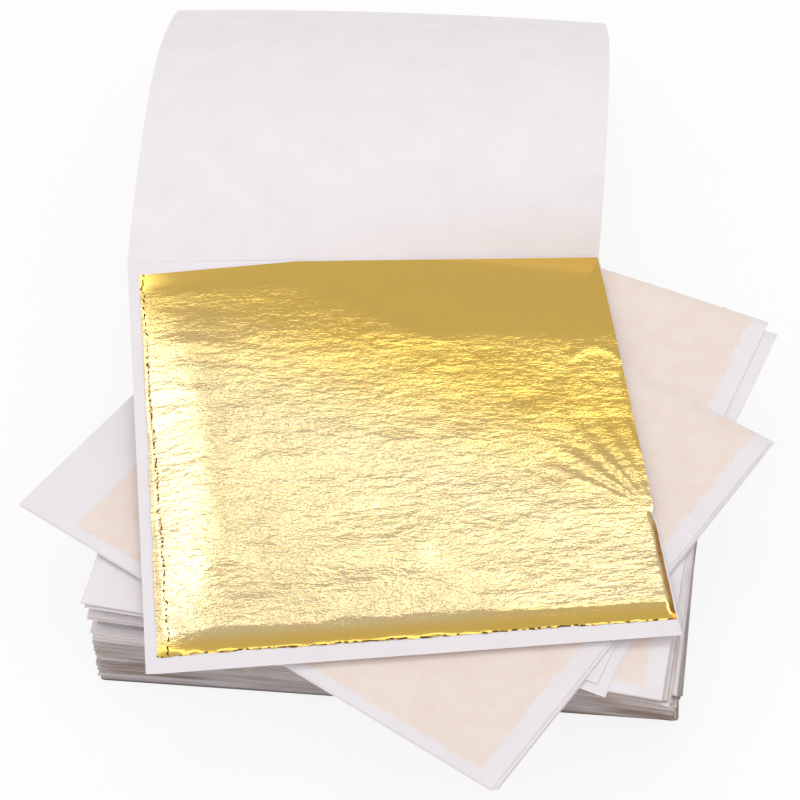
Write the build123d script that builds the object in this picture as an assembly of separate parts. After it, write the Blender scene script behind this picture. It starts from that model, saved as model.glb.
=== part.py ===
from build123d import *
import math
import os
import random

# Loose folders of gold leaf, laid out for use. All lengths are millimetres, all turns degrees.
# The origin is the middle of the lowest folder's underside, and +Y points at the creases.
# A folder is one sheet of tissue, folded once at the back, with a square of leaf between its pages.

# The tissue and the leaf
paper_thickness = 0.05
leaf_thickness = 0.03
leaf_clearance = 0.01
folder_gap = 0.0275

# The closed folders of the pile and of the two fans, and the leaf in them
folder_width = 94.7
folder_depth = 85.0
closed_leaf_width = 81.0
closed_leaf_depth = 81.5
pile_leaf_right_margin = 4.7
pile_leaf_front_margin = 2.8
fan_leaf_right_margin = 3.2
fan_leaf_front_margin = 2.1

# The pile, which leans and twists a little from its foot to its top
pile_top_turn = -6.9
pile_top_right = 2.7
pile_top_back = -2.8
inset_right = 1.1
inset_back = 1.5
sheet_stray = 0.22
sheet_stray_turn = 0.14
stray_seed = 11

# Each bundle of the pile, from the foot up: its name, how its folders are shared out over nodes,
# the share of the pile's whole twist at its foot and top, and the share of the inset that draws it in
pile_bundle_shares = [
    ("foot_bundle", [5, 5], 0.00, 0.04, 0.0),
    ("main_bundle", [7, 7, 7, 7, 7, 7], 0.14, 0.60, 0.0),
    ("thin_drawn_in_bundle", [2], 0.60, 0.60, 0.6),
    ("middle_bundle", [6, 5], 0.60, 0.64, 0.0),
    ("deep_drawn_in_bundle", [6, 6], 0.62, 0.66, 1.0),
    ("upper_bundle", [4, 4], 0.76, 0.80, 0.0),
    ("top_drawn_in_bundle", [3], 0.84, 0.86, 0.9),
    ("top_bundle", [3, 2], 0.97, 0.99, 0.0),
]

# The single folder on top of the pile
top_folder_turn = -6.9
top_folder_right = 1.8
top_folder_back = -2.5

# The lower fan, two folders laid on the pile
lower_fan_turn = -20.0
lower_fan_right = 3.9
lower_fan_back = 6.9
lower_fan_count = 2
lower_fan_step_right = -1.5
lower_fan_step_back = 2.7

# The upper fan, three folders laid on the lower one
upper_fan_turn = -31.0
upper_fan_right = -0.5
upper_fan_back = -8.5
upper_fan_count = 3
upper_fan_step_right = -0.5
upper_fan_step_back = -0.3

# The open folder on top. Its lower page lies on the upper fan, with the back left corner lifted
open_width = 85.3
open_depth = 85.0
open_turn = 10.1
open_right = -2.9
open_back = -4.3
page_seat_gap = 0.25
front_left_rise = 0.5
front_right_rise = 0.3
back_right_rise = 0.0
back_left_rise = 6.6
left_side_bow = -1.3
right_side_bow = -0.1

# The leaf that lies open on the lower page
open_leaf_width = 83.0
open_leaf_depth = 79.2
open_leaf_right_margin = 0.3
open_leaf_front_margin = 3.2
open_leaf_gap = 0.2

# The upper page, folded back at the crease. Its two sides leave the crease at their own slopes and
# bend by three arcs each, so the page arches high on the right and droops at its free end
upper_page_length = 85.0
crease_clearance = 0.1
arc_length_shares = [0.36, 0.34, 0.30]
left_side_slope = 18.0
left_side_bends = [-15.0, -24.0, -11.0]
left_side_swing = 1.7
right_side_slope = 68.0
right_side_bends = [-66.0, -35.0, -4.0]
right_side_swing = -0.2

# What follows from these sizes
pocket_height = leaf_thickness + 2 * leaf_clearance
folder_height = 2 * paper_thickness + pocket_height
layer_height = folder_height + folder_gap
pile_count = sum(sum(shared_out) for _, shared_out, _, _, _ in pile_bundle_shares) + 1
pile_height = pile_count * layer_height
lower_fan_height = lower_fan_count * layer_height
upper_fan_height = upper_fan_count * layer_height
seat_height = pile_height + lower_fan_height + upper_fan_height - folder_gap + page_seat_gap


def folded_paper():
    """One closed sheet of tissue: two pages joined at the crease, open at the front and sides."""
    block = Box(folder_width, folder_depth, folder_height)
    pocket = Box(folder_width, folder_depth, pocket_height)
    return (block - Pos(0, -paper_thickness, 0) * pocket).solid()


def closed_leaf(right_margin, front_margin):
    """The leaf between the pages, as far from the folder's right and front edges as it is told."""
    right = folder_width / 2 - right_margin - closed_leaf_width / 2
    back = -folder_depth / 2 + front_margin + closed_leaf_depth / 2
    return Pos(right, back, 0) * Box(closed_leaf_width, closed_leaf_depth, leaf_thickness)


def laid(right, back, height, turn):
    """The place of a folder whose underside lies at this height."""
    return Pos(right, back, height + folder_height / 2) * Rot(0, 0, turn)


def pile_places():
    """The name and the place of every folder in the pile, from the foot up."""
    stray = random.Random(stray_seed)
    height = 0.0
    for name, shared_out, first_share, last_share, inset_share in pile_bundle_shares:
        count = sum(shared_out)
        node_of = [n for n, share_count in enumerate(shared_out, 1) for _ in range(share_count)]
        for n in range(count):
            share = first_share + (last_share - first_share) * n / count
            right = share * pile_top_right + inset_share * inset_right
            back = share * pile_top_back + inset_share * inset_back
            turn = share * pile_top_turn
            if 0 < height:
                right += stray.uniform(-sheet_stray, sheet_stray)
                back += stray.uniform(-sheet_stray, sheet_stray)
                turn += stray.uniform(-sheet_stray_turn, sheet_stray_turn)
            numbered = f"{name}_{node_of[n]}" if len(shared_out) > 1 else name
            yield numbered, laid(right, back, height, turn)
            height += layer_height
    yield "pile_top_folder", laid(top_folder_right, top_folder_back, height, top_folder_turn)


def pile():
    """The closed folders of the pile, each bundle's papers in one group and its leaves in another."""
    paper = folded_paper()
    leaf = closed_leaf(pile_leaf_right_margin, pile_leaf_front_margin)
    nodes = {}
    for name, place in pile_places():
        nodes.setdefault(f"{name}_papers", []).append(place * paper)
        nodes.setdefault(f"{name}_leaves", []).append(place * leaf)
    return nodes


def fan(name, count, height, right, back, turn, step_right, step_back):
    """A few closed folders laid on each other, each a step on from the one below."""
    paper = folded_paper()
    leaf = closed_leaf(fan_leaf_right_margin, fan_leaf_front_margin)
    nodes = {}
    for n in range(count):
        steps = n - (count - 1) / 2
        place = laid(right + steps * step_right, back + steps * step_back, height + n * layer_height, turn)
        nodes[f"{name}_paper_{n + 1}"] = [place * paper]
        nodes[f"{name}_leaf_{n + 1}"] = [place * leaf]
    return nodes


def page_rise(x, y):
    """How far the lower page's underside stands above its seat, at a place in the open folder."""
    across = x / open_width + 1 / 2
    along = y / open_depth + 1 / 2
    bow_share = 4 * along * (1 - along)
    left = front_left_rise + (back_left_rise - front_left_rise) * along + left_side_bow * bow_share
    right = front_right_rise + (back_right_rise - front_right_rise) * along + right_side_bow * bow_share
    return left + (right - left) * across


def line_on_page(x, front, back, lift):
    """A curve that follows the lower page from front to back, at one place across the folder."""
    middle = (front + back) / 2
    points = [Vector(x, y, page_rise(x, y) + lift) for y in (front, middle, back)]
    pull = points[1] * 2 - (points[0] + points[2]) / 2
    return Bezier(points[0], pull, points[2])


def sheet_on_page(left, right, front, back, lift, thickness):
    """A thin sheet that lies along the lower page, ruled from its left side to its right side."""
    sides = [line_on_page(x, front, back, lift) for x in (left, right)]
    underside = Face.make_surface_from_curves(sides[0], sides[1])
    return Solid.extrude(underside, Vector(0, 0, thickness))


def lower_page():
    """The open folder's lower page."""
    half_width = open_width / 2
    half_depth = open_depth / 2
    return sheet_on_page(-half_width, half_width, -half_depth, half_depth, 0, paper_thickness)


def open_leaf():
    """The leaf that lies open on the lower page."""
    right = open_width / 2 - open_leaf_right_margin
    front = -open_depth / 2 + open_leaf_front_margin
    lift = paper_thickness + open_leaf_gap
    return sheet_on_page(right - open_leaf_width, right, front, front + open_leaf_depth, lift, leaf_thickness)


def open_place():
    """Where the open folder lies."""
    return Pos(open_right, open_back, seat_height) * Rot(0, 0, open_turn)


def crease_end(side):
    """The left (-1) or right (1) end of the crease, where the upper page leaves the lower one."""
    x = side * open_width / 2
    y = open_depth / 2
    end = Pos(x, y + crease_clearance, page_rise(x, y))
    return (open_place() * end).position


def bent_side(start, slope, bends, swing):
    """The section of the upper page along one side: three arcs, and the same arcs a page higher."""
    out = Vector(-math.sin(math.radians(swing)), math.cos(math.radians(swing)), 0)
    up = Vector(0, 0, 1)

    def step(point, length, heading):
        angle = math.radians(heading)
        return point + out * (length * math.cos(angle)) + up * (length * math.sin(angle))

    low = [start]
    headings = [slope]
    for share, bend in zip(arc_length_shares, bends):
        half_arc = upper_page_length * share / 2
        for _ in range(2):
            turn = math.radians(bend) / 2
            chord = half_arc * math.sin(turn / 2) / (turn / 2)
            low.append(step(low[-1], chord, headings[-1] + bend / 4))
            headings.append(headings[-1] + bend / 2)
    square = 90
    high = [step(point, paper_thickness, heading + square) for point, heading in zip(low, headings)]
    corners = range(0, len(low) - 1, 2)
    edges = [ThreePointArc(low[n], low[n + 1], low[n + 2]) for n in corners]
    edges.append(Line(low[-1], high[-1]))
    edges += [ThreePointArc(high[n + 2], high[n + 1], high[n]) for n in reversed(corners)]
    edges.append(Line(high[0], low[0]))
    return edges


def ruled_sheet(left_edges, right_edges):
    """The solid between two sections of a sheet, each edge ruled straight across to its partner."""
    faces = [Face.make_surface_from_curves(left, right) for left, right in zip(left_edges, right_edges)]
    faces += [Face(Wire(left_edges)), Face(Wire(right_edges))]
    sheet = Solid(Shell(faces))
    return sheet if sheet.volume > 0 else Solid(Shell([-face for face in faces]))


def upper_page():
    """The open folder's upper page, ruled from its left side to its right side."""
    left = bent_side(crease_end(-1), left_side_slope, left_side_bends, left_side_swing)
    right = bent_side(crease_end(1), right_side_slope, right_side_bends, right_side_swing)
    return ruled_sheet(left, right)


def open_folder():
    """The open folder's two pages and its leaf."""
    place = open_place()
    return {
        "open_folder_lower_page": [place * lower_page()],
        "open_folder_upper_page": [upper_page()],
        "open_gold_leaf": [place * open_leaf()],
    }


def model():
    """Every node of the part, with its solids."""
    nodes = pile()
    nodes.update(fan(
        "lower_fan", lower_fan_count, pile_height, lower_fan_right, lower_fan_back,
        lower_fan_turn, lower_fan_step_right, lower_fan_step_back))
    nodes.update(fan(
        "upper_fan", upper_fan_count, pile_height + lower_fan_height, upper_fan_right, upper_fan_back,
        upper_fan_turn, upper_fan_step_right, upper_fan_step_back))
    nodes.update(open_folder())
    return nodes


def main():
    os.makedirs("parts", exist_ok=True)
    for name, solids in model().items():
        whole = solids[0] if len(solids) == 1 else Compound(children=solids)
        export_step(whole, f"parts/{name}.step")
    print("crease ends", crease_end(-1), crease_end(1))
    print("pile height", round(pile_height, 2), "seat of the open folder", round(seat_height, 2))


main()
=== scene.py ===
# %% [markdown]
# # Loose folders of gold leaf
# The real object is a pile of small folders. Each folder is one sheet of white tissue, folded once at
# the back, with a square of very thin metal leaf between its two pages. The top folder lies open.
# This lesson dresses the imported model: the model gives every sheet's place, and here each sheet gets
# its real form, its waves and its finish.

import math

import bpy
import numpy as np
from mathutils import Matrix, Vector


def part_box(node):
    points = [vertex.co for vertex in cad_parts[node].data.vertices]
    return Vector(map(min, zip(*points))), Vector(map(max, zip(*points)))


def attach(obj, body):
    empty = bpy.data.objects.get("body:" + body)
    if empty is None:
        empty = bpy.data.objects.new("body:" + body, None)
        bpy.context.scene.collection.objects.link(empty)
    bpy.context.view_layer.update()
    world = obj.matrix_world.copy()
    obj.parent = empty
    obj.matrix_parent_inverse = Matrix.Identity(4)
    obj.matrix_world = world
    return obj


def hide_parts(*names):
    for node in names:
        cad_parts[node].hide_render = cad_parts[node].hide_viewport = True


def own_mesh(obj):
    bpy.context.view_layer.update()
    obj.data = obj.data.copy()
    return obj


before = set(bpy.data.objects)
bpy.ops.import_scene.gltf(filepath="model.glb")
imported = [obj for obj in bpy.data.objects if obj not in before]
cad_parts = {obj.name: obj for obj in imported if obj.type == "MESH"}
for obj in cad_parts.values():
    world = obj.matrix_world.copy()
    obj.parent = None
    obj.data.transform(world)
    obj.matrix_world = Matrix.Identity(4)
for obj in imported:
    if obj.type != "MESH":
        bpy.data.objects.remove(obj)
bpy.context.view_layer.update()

# %% [markdown]
# ## Helpers for points and selections
# Blender works in metres, and paper is talked about in millimetres, so one value turns one into the
# other. Every sheet also gets a map of itself lying flat, on which patterns are placed, and a second
# value turns millimetres into lengths on that map. Sheets are shaped by moving their points, and it
# is quick to do that to all points at once.

# %% Units, points and selections
mm = 0.001
map_size = 100 * mm
on_map = mm / map_size


def select_only(*chosen):
    """Selects these objects alone, and makes the first of them the active one."""
    bpy.ops.object.select_all(action="DESELECT")
    for one in chosen:
        one.select_set(True)
    bpy.context.view_layer.objects.active = chosen[0]


def points_of(piece):
    """A piece's points as rows of x, y and z."""
    flat = np.empty(len(piece.data.vertices) * 3)
    piece.data.vertices.foreach_get("co", flat)
    return flat.reshape(-1, 3)


def move_points(piece, points):
    """Puts a piece's points where these rows say."""
    piece.data.vertices.foreach_set("co", points.astype(np.float32).ravel())
    piece.data.update()


def eased(share):
    """A share from 0 to 1 that starts and ends softly."""
    share = np.clip(share, 0, 1)
    return share * share * (3 - 2 * share)


# %% [markdown]
# ## Random waves that come out the same each time
# Paper and leaf are never quite flat. These helpers lay a net of random heights and join them softly,
# so the size of the lumps can be chosen, and the seed makes each run give the same waves.

# %% Soft waves
lattice_size = 256


def soft_waves(x, y, cell_x, cell_y, seed):
    """Smooth random heights from -1 to 1, with lumps of about the given size."""
    lattice = np.random.default_rng(seed).uniform(-1, 1, (lattice_size, lattice_size))
    column, row = np.floor(x / cell_x).astype(int), np.floor(y / cell_y).astype(int)
    part_x, part_y = eased(x / cell_x - column), eased(y / cell_y - row)

    def height(right, back):
        return lattice[(column + right) % lattice_size, (row + back) % lattice_size]

    near = height(0, 0) * (1 - part_x) + height(1, 0) * part_x
    far = height(0, 1) * (1 - part_x) + height(1, 1) * part_x
    return near * (1 - part_y) + far * part_y


def sheet_waves(x, y, width, depth, seed):
    """Soft waves on a sheet, in lumps of so many millimetres. The metre added keeps places above zero."""
    return soft_waves(x + 1, y + 1, width * mm, depth * mm, seed)


# %% [markdown]
# ## Reading a sheet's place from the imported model
# Every folder is a rectangle seen from above, turned by less than 45 degrees. So its four corners are
# the points that lie furthest along the two diagonals, and they give its centre and its turn.

# %% Corners, centres and turns
def plan_corners(points):
    """The front right, front left, back left and back right points of a rectangle seen from above."""
    x, y = points[:, 0], points[:, 1]
    return [points[n] for n in (np.argmax(x - y), np.argmin(x + y), np.argmin(x - y), np.argmax(x + y))]


def lie_of(points):
    """A sheet's centre, its turn, and its width and depth."""
    front_right, front_left, back_left, back_right = plan_corners(points)
    centre = (front_right + front_left + back_left + back_right) / 4
    across, along = front_right - front_left, back_left - front_left
    turn = math.atan2(across[1], across[0])
    return centre, turn, math.hypot(across[0], across[1]), math.hypot(along[0], along[1])


def turned(x, y, centre, turn):
    """Places in a sheet's own plan, carried to where the sheet lies."""
    right = centre[0] + x * math.cos(turn) - y * math.sin(turn)
    back = centre[1] + x * math.sin(turn) + y * math.cos(turn)
    return right, back


top_paper = points_of(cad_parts["pile_top_folder_papers"])
_, _, folder_width, folder_depth = lie_of(top_paper)
folder_height = top_paper[:, 2].max() - top_paper[:, 2].min()
print("a folder is", [round(size / mm, 3) for size in (folder_width, folder_depth, folder_height)], "mm")

# %% [markdown]
# ## The camera
# The photograph looks down at the pile from the front, about 49 degrees above the table, through a
# long lens. Its place was fitted to the corners of five sheets, so the render can be laid over it.

# %% Camera
camera_distance = 447 * mm
camera_height_angle = math.radians(48.9)
camera_side_angle = math.radians(4.816)
aim = (-9.87 * mm, 23.57 * mm, 0.0)
lens_length = 110.0
sensor_width = 36
picture_shift = (0.0475, -0.00625)

bpy.ops.object.camera_add()
camera = bpy.context.object
camera.name = "camera"
level = camera_distance * math.cos(camera_height_angle)
camera.location = (
    aim[0] + level * math.sin(camera_side_angle),
    aim[1] - level * math.cos(camera_side_angle),
    aim[2] + camera_distance * math.sin(camera_height_angle),
)
camera.rotation_euler = (math.pi / 2 - camera_height_angle, 0, camera_side_angle)
camera.data.lens = lens_length
camera.data.sensor_width = sensor_width
camera.data.shift_x, camera.data.shift_y = picture_shift
bpy.context.scene.camera = camera
print("camera at", [round(c / mm, 1) for c in camera.location], "mm")

# %% [markdown]
# ## Nodes in a few words
# Materials are trees of nodes. These helpers add one node each, give its sockets their values or
# links, and hand back what comes out of it, which keeps each finish below short enough to read.

# %% Helpers for nodes
def fill_inputs(tree, made, inputs):
    """Gives a node its inputs. Each is a value, or another node's output socket to link."""
    for name, value in inputs.items():
        if isinstance(value, bpy.types.NodeSocket):
            tree.links.new(value, made.inputs[name])
        else:
            made.inputs[name].default_value = value
    return made


def add_node(tree, kind, inputs=None, **settings):
    """Adds a node of this kind, with its inputs and its settings."""
    made = tree.nodes.new(kind)
    for name, value in settings.items():
        setattr(made, name, value)
    return fill_inputs(tree, made, inputs or {})


def new_group(name, vectors, values, results):
    """An empty node group that takes vectors and values and gives values, what it takes, and its end."""
    group = bpy.data.node_groups.new(name, "ShaderNodeTree")
    for sockets, side, kind in (
            (vectors, "INPUT", "NodeSocketVector"), (values, "INPUT", "NodeSocketFloat"),
            (results, "OUTPUT", "NodeSocketFloat")):
        for socket in sockets:
            group.interface.new_socket(socket, in_out=side, socket_type=kind)
    return group, group.nodes.new("NodeGroupInput").outputs, group.nodes.new("NodeGroupOutput")


def place_group(tree, group, inputs):
    """Puts a node group in a material with its own values."""
    made = tree.nodes.new("ShaderNodeGroup")
    made.node_tree = group
    return fill_inputs(tree, made, inputs).outputs


def maths(tree, operation, first, second=0.0, clamp=False):
    """The result of one sum on two values."""
    made = add_node(tree, "ShaderNodeMath", {0: first, 1: second}, operation=operation, use_clamp=clamp)
    return made.outputs[0]


def times(tree, first, second):
    """One value times another."""
    return maths(tree, "MULTIPLY", first, second)


def plus(tree, first, second):
    """One value plus another."""
    return maths(tree, "ADD", first, second)


def ramp(tree, value, low, high, to_low=0.0, to_high=1.0):
    """A value carried softly from one range to another."""
    made = add_node(
        tree, "ShaderNodeMapRange",
        {"Value": value, "From Min": low, "From Max": high, "To Min": to_low, "To Max": to_high},
        interpolation_type="SMOOTHSTEP")
    return made.outputs["Result"]


def mixed(tree, share, first, second):
    """One colour mixed into another by a share."""
    made = add_node(tree, "ShaderNodeMix", data_type="RGBA")
    place = {socket.identifier: n for n, socket in enumerate(made.inputs)}
    fill_inputs(
        tree, made, {place["Factor_Float"]: share, place["A_Color"]: first, place["B_Color"]: second})
    return next(socket for socket in made.outputs if socket.identifier == "Result_Color")


def noise(tree, place, scale, detail, roughness=0.5, distortion=0.0):
    """A cloud of noise: "Fac" is one value of it, and "Color" three."""
    return add_node(
        tree, "ShaderNodeTexNoise",
        {"Vector": place, "Scale": scale, "Detail": detail, "Roughness": roughness,
         "Distortion": distortion}).outputs


def parts_of(tree, vector):
    """A vector's X, Y and Z as single values."""
    return add_node(tree, "ShaderNodeSeparateXYZ", {"Vector": vector}).outputs


def empty_material(name):
    """A material whose tree of nodes is empty, and that tree."""
    material = bpy.data.materials.new(name)
    material.use_nodes = True
    material.node_tree.nodes.clear()
    return material, material.node_tree


# %% [markdown]
# ## The studio
# Product photographs of foil are lit by a large soft box behind and above the table, and by a room of
# even pale light. The foil mirrors the box, and where that bright patch begins and ends says how the
# foil bends. Here the box is painted into the world, where only mirroring rays meet it. It is soft
# along its near side, starts lower towards the right, and has a wing at the left. A soft light and
# the room light the sheets themselves, and floor and room are near white to the camera.

# %% Room, soft light and floor
room_light_front = 1.12
room_light_back = 0.58
room_mirrored = 0.68
box_mirrored_low = 0.50
box_mirrored_high = 3.40
box_low_side = (0.796, 0.840)
box_high_side = (0.820, 0.880)
box_far_side = (0.884, 0.862)
box_left_wing = 0.065
box_left_wing_side = (-0.20, -0.36)
box_tilt = 0.20
box_tilt_start = -0.02
soft_light_radiance = 1.5
soft_light_size = (0.95, 0.42)
soft_light_distance = 0.95
soft_light_height_angle = math.radians(63)
soft_light_side_angle = math.radians(-12)
floor_colour = (0.90, 0.895, 0.90, 1)
floor_glow_share = 0.86

world = bpy.data.worlds.new("studio")
bpy.context.scene.world = world
world.use_nodes = True
tree = world.node_tree
tree.nodes.clear()
ray = add_node(tree, "ShaderNodeLightPath").outputs
direction = add_node(tree, "ShaderNodeTexCoord").outputs["Generated"]
towards = parts_of(tree, direction)
left_wing = ramp(tree, towards["X"], *box_left_wing_side, 0.0, box_left_wing)
right_wing = times(tree, maths(tree, "MAXIMUM", towards["X"], box_tilt_start), box_tilt)
box_height = plus(tree, towards["Z"], plus(tree, left_wing, right_wing))
box = plus(
    tree, ramp(tree, box_height, *box_low_side, 0.0, box_mirrored_low),
    ramp(tree, box_height, *box_high_side, 0.0, box_mirrored_high))
box = times(tree, box, ramp(tree, towards["Z"], *box_far_side))
mirrored = plus(tree, box, room_mirrored)
lit = ramp(tree, towards["Y"], -1.0, 1.0, room_light_front, room_light_back)
mirror_ray = maths(tree, "MAXIMUM", ray["Is Glossy Ray"], ray["Is Transmission Ray"])
plain = add_node(tree, "ShaderNodeBackground", {"Color": (1, 1, 1, 1), "Strength": lit})
seen = add_node(tree, "ShaderNodeBackground", {"Color": (1, 1, 1, 1), "Strength": 1.0})
shown = add_node(tree, "ShaderNodeBackground", {"Color": (1, 1, 1, 1), "Strength": mirrored})
mirror_mix = add_node(
    tree, "ShaderNodeMixShader", {0: mirror_ray, 1: plain.outputs[0], 2: shown.outputs[0]})
seen_mix = add_node(
    tree, "ShaderNodeMixShader", {0: ray["Is Camera Ray"], 1: mirror_mix.outputs[0], 2: seen.outputs[0]})
add_node(tree, "ShaderNodeOutputWorld", {"Surface": seen_mix.outputs[0]})

bpy.ops.object.light_add(type="AREA")
soft_light = bpy.context.object
soft_light.name = "soft_light"
soft_light.data.shape = "RECTANGLE"
soft_light.data.size, soft_light.data.size_y = soft_light_size
soft_light.data.energy = soft_light_radiance * math.pi * soft_light_size[0] * soft_light_size[1]
light_level = soft_light_distance * math.cos(soft_light_height_angle)
soft_light.location = (
    light_level * math.sin(soft_light_side_angle),
    light_level * math.cos(soft_light_side_angle),
    soft_light_distance * math.sin(soft_light_height_angle),
)
soft_light.rotation_euler = (soft_light_height_angle - math.pi / 2, 0, -soft_light_side_angle)
soft_light.visible_camera = False
soft_light.visible_glossy = False

bpy.ops.mesh.primitive_plane_add(size=8)
floor = bpy.context.object
floor.name = "floor"
paint, tree = empty_material("floor_paint")
ray = add_node(tree, "ShaderNodeLightPath").outputs
matt = add_node(tree, "ShaderNodeBsdfDiffuse", {"Color": floor_colour})
glow = add_node(tree, "ShaderNodeEmission", {"Color": (1, 1, 1, 1), "Strength": 1.0})
glow_share = times(tree, ray["Is Camera Ray"], floor_glow_share)
both = add_node(tree, "ShaderNodeMixShader", {0: glow_share, 1: matt.outputs[0], 2: glow.outputs[0]})
add_node(tree, "ShaderNodeOutputMaterial", {"Surface": both.outputs[0]})
floor.data.materials.append(paint)
bpy.context.scene.view_settings.view_transform = "Standard"
print("soft light of", round(soft_light.data.energy, 2), "W at", [round(c, 2) for c in soft_light.location])

# %% [markdown]
# ## Tissue
# The tissue is thin, matt and a little pink. Close up it shows a faint cloud of fibres. Where leaf lies
# under the page, its colour comes through as a soft peach square. A few loose specks lie about. Where
# many sheets are stacked, their cut edges get streaks of painted shade from the gaps between them,
# blotches of painted brown shade that grow towards the right, flecks of gold, and a painted contact
# shadow at the very foot of the pile. Four node groups make these.

# %% Node group: fibres and cloud
fibre_bend = 1.2 * mm
fibres, fibres_in, fibres_out = new_group(
    "tissue_fibres", ["Place"], ["Cloud Size", "Fibre Size"], ["Cloud", "Height"])
cloud_scale = maths(fibres, "DIVIDE", 1.0, fibres_in["Cloud Size"])
fibre_scale = maths(fibres, "DIVIDE", 1.0, fibres_in["Fibre Size"])
cloud = noise(fibres, fibres_in["Place"], cloud_scale, 5.0, 0.62)
warp = noise(fibres, fibres_in["Place"], fibre_scale, 2.0)
bent = add_node(
    fibres, "ShaderNodeVectorMath", {0: warp["Color"], 1: [fibre_bend] * 3}, operation="MULTIPLY")
bent_place = add_node(
    fibres, "ShaderNodeVectorMath", {0: fibres_in["Place"], 1: bent.outputs[0]}, operation="ADD")
strands = noise(fibres, bent_place.outputs[0], fibre_scale, 6.0, 0.7, 0.6)
fill_inputs(fibres, fibres_out, {"Cloud": cloud["Fac"], "Height": strands["Fac"]})

# %% Node group: the square of leaf that shows through
square_wobble = 2.2 * on_map
square, square_in, square_out = new_group(
    "leaf_under_page", ["Flat"], ["Left", "Right", "Front", "Back", "Softness"], ["Mask"])
flat = parts_of(square, square_in["Flat"])
wobble = noise(square, square_in["Flat"], 42.0, 4.0)
wobbled = times(square, maths(square, "SUBTRACT", wobble["Fac"], 0.5), square_wobble)
sides = [
    maths(square, "SUBTRACT", flat["X"], square_in["Left"]),
    maths(square, "SUBTRACT", square_in["Right"], flat["X"]),
    maths(square, "SUBTRACT", flat["Y"], square_in["Front"]),
    maths(square, "SUBTRACT", square_in["Back"], flat["Y"]),
]
nearest = sides[0]
for side in sides[1:]:
    nearest = maths(square, "MINIMUM", nearest, side)
inside = maths(square, "DIVIDE", plus(square, nearest, wobbled), square_in["Softness"])
fill_inputs(square, square_out, {"Mask": ramp(square, inside, -0.5, 0.5)})

# %% Node group: loose specks
specks, specks_in, specks_out = new_group(
    "loose_specks", ["Place"], ["Spacing", "Size"], ["Mask"])
speck_scale = maths(specks, "DIVIDE", 1.0, specks_in["Spacing"])
cells = add_node(specks, "ShaderNodeTexVoronoi", {"Vector": specks_in["Place"], "Scale": speck_scale})
chance = add_node(specks, "ShaderNodeSeparateColor", {"Color": cells.outputs["Color"]}).outputs[0]
reach = times(specks, specks_in["Size"], ramp(specks, chance, 0.80, 1.0))
speck = maths(specks, "LESS_THAN", cells.outputs["Distance"], times(specks, reach, speck_scale))
fill_inputs(specks, specks_out, {"Mask": speck})

# %% Node group: painted shade and gold flecks on the cut edges of stacked sheets
edge_strip = 0.45 * on_map
stack_squeeze = (1.0, 1.0, 9.0)
brown_shade_right_side = (10 * on_map, 34 * on_map)
contact_shadow_level = (1.05 * mm, 0.55 * mm)
cut_edge, cut_edge_in, cut_edge_out = new_group(
    "cut_edges", ["Flat", "Place"], [], ["Shade", "Stain", "Fleck", "Foot"])
flat = parts_of(cut_edge, cut_edge_in["Flat"])
half_width, half_depth = folder_width / 2 / map_size, folder_depth / 2 / map_size
from_side = maths(cut_edge, "SUBTRACT", half_width, maths(cut_edge, "ABSOLUTE", flat["X"]))
from_front = plus(cut_edge, flat["Y"], half_depth)
nearest = maths(cut_edge, "MINIMUM", from_side, from_front)
near = ramp(cut_edge, nearest, edge_strip, 0.0)
streaks = add_node(
    cut_edge, "ShaderNodeMapping", {"Vector": cut_edge_in["Place"], "Scale": stack_squeeze})
streak = noise(cut_edge, streaks.outputs[0], 110.0, 5.0, 0.6)
patches = noise(cut_edge, streaks.outputs[0], 34.0, 3.0)
# Painted shade of the gaps between stacked sheets, in streaks along their cut edges.
shade = times(cut_edge, near, ramp(cut_edge, streak["Fac"], 0.3, 0.7, 0.45, 1.0))
# Painted brown shade in blotches along the cut edges, more of it towards the pile's right side.
brown_shade_patches = plus(cut_edge, patches["Fac"], ramp(cut_edge, flat["X"], *brown_shade_right_side, 0.0, 0.12))
brown_shade = times(cut_edge, near, ramp(cut_edge, brown_shade_patches, 0.56, 0.70, 0.0, 0.75))
level = parts_of(cut_edge, cut_edge_in["Place"])["Z"]
# A painted contact shadow along the cut edges at the very foot of the pile.
foot = times(cut_edge, near, ramp(cut_edge, level, *contact_shadow_level))
flecks = place_group(
    cut_edge, specks, {"Place": cut_edge_in["Place"], "Spacing": 4.5 * mm, "Size": 0.7 * mm})
fleck = times(cut_edge, near, flecks["Mask"])
fill_inputs(cut_edge, cut_edge_out, {"Shade": shade, "Stain": brown_shade, "Fleck": fleck, "Foot": foot})
print("node groups:", [g.name for g in bpy.data.node_groups])

# %% [markdown]
# ### The tissue materials
# One recipe makes every tissue, because all folders are cut from the same paper. It is told where
# the square of leaf lies under the page, on the page's own flat map, or that there is none, and how
# dark the painted shade on the cut edges is where the sheets are stacked.

# %% Tissue materials
tissue_light = (0.850, 0.805, 0.832, 1)
tissue_shade = (0.825, 0.778, 0.803, 1)
peach_light = (0.868, 0.738, 0.656, 1)
peach_shade = (0.838, 0.692, 0.600, 1)
speck_colour = (0.42, 0.36, 0.30, 1)
# Painted shade on the cut edges of stacked sheets: light, grey and dark.
edge_shade_light = (0.850, 0.785, 0.765, 1)
edge_shade_grey = (0.560, 0.490, 0.450, 1)
edge_shade_dark = (0.300, 0.255, 0.230, 1)
# Painted brown shade in blotches on the cut edges.
edge_brown_shade = (0.330, 0.220, 0.160, 1)
edge_fleck = (0.720, 0.480, 0.110, 1)
# Painted contact shadow at the foot of the pile.
edge_foot = (0.085, 0.070, 0.060, 1)


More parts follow.
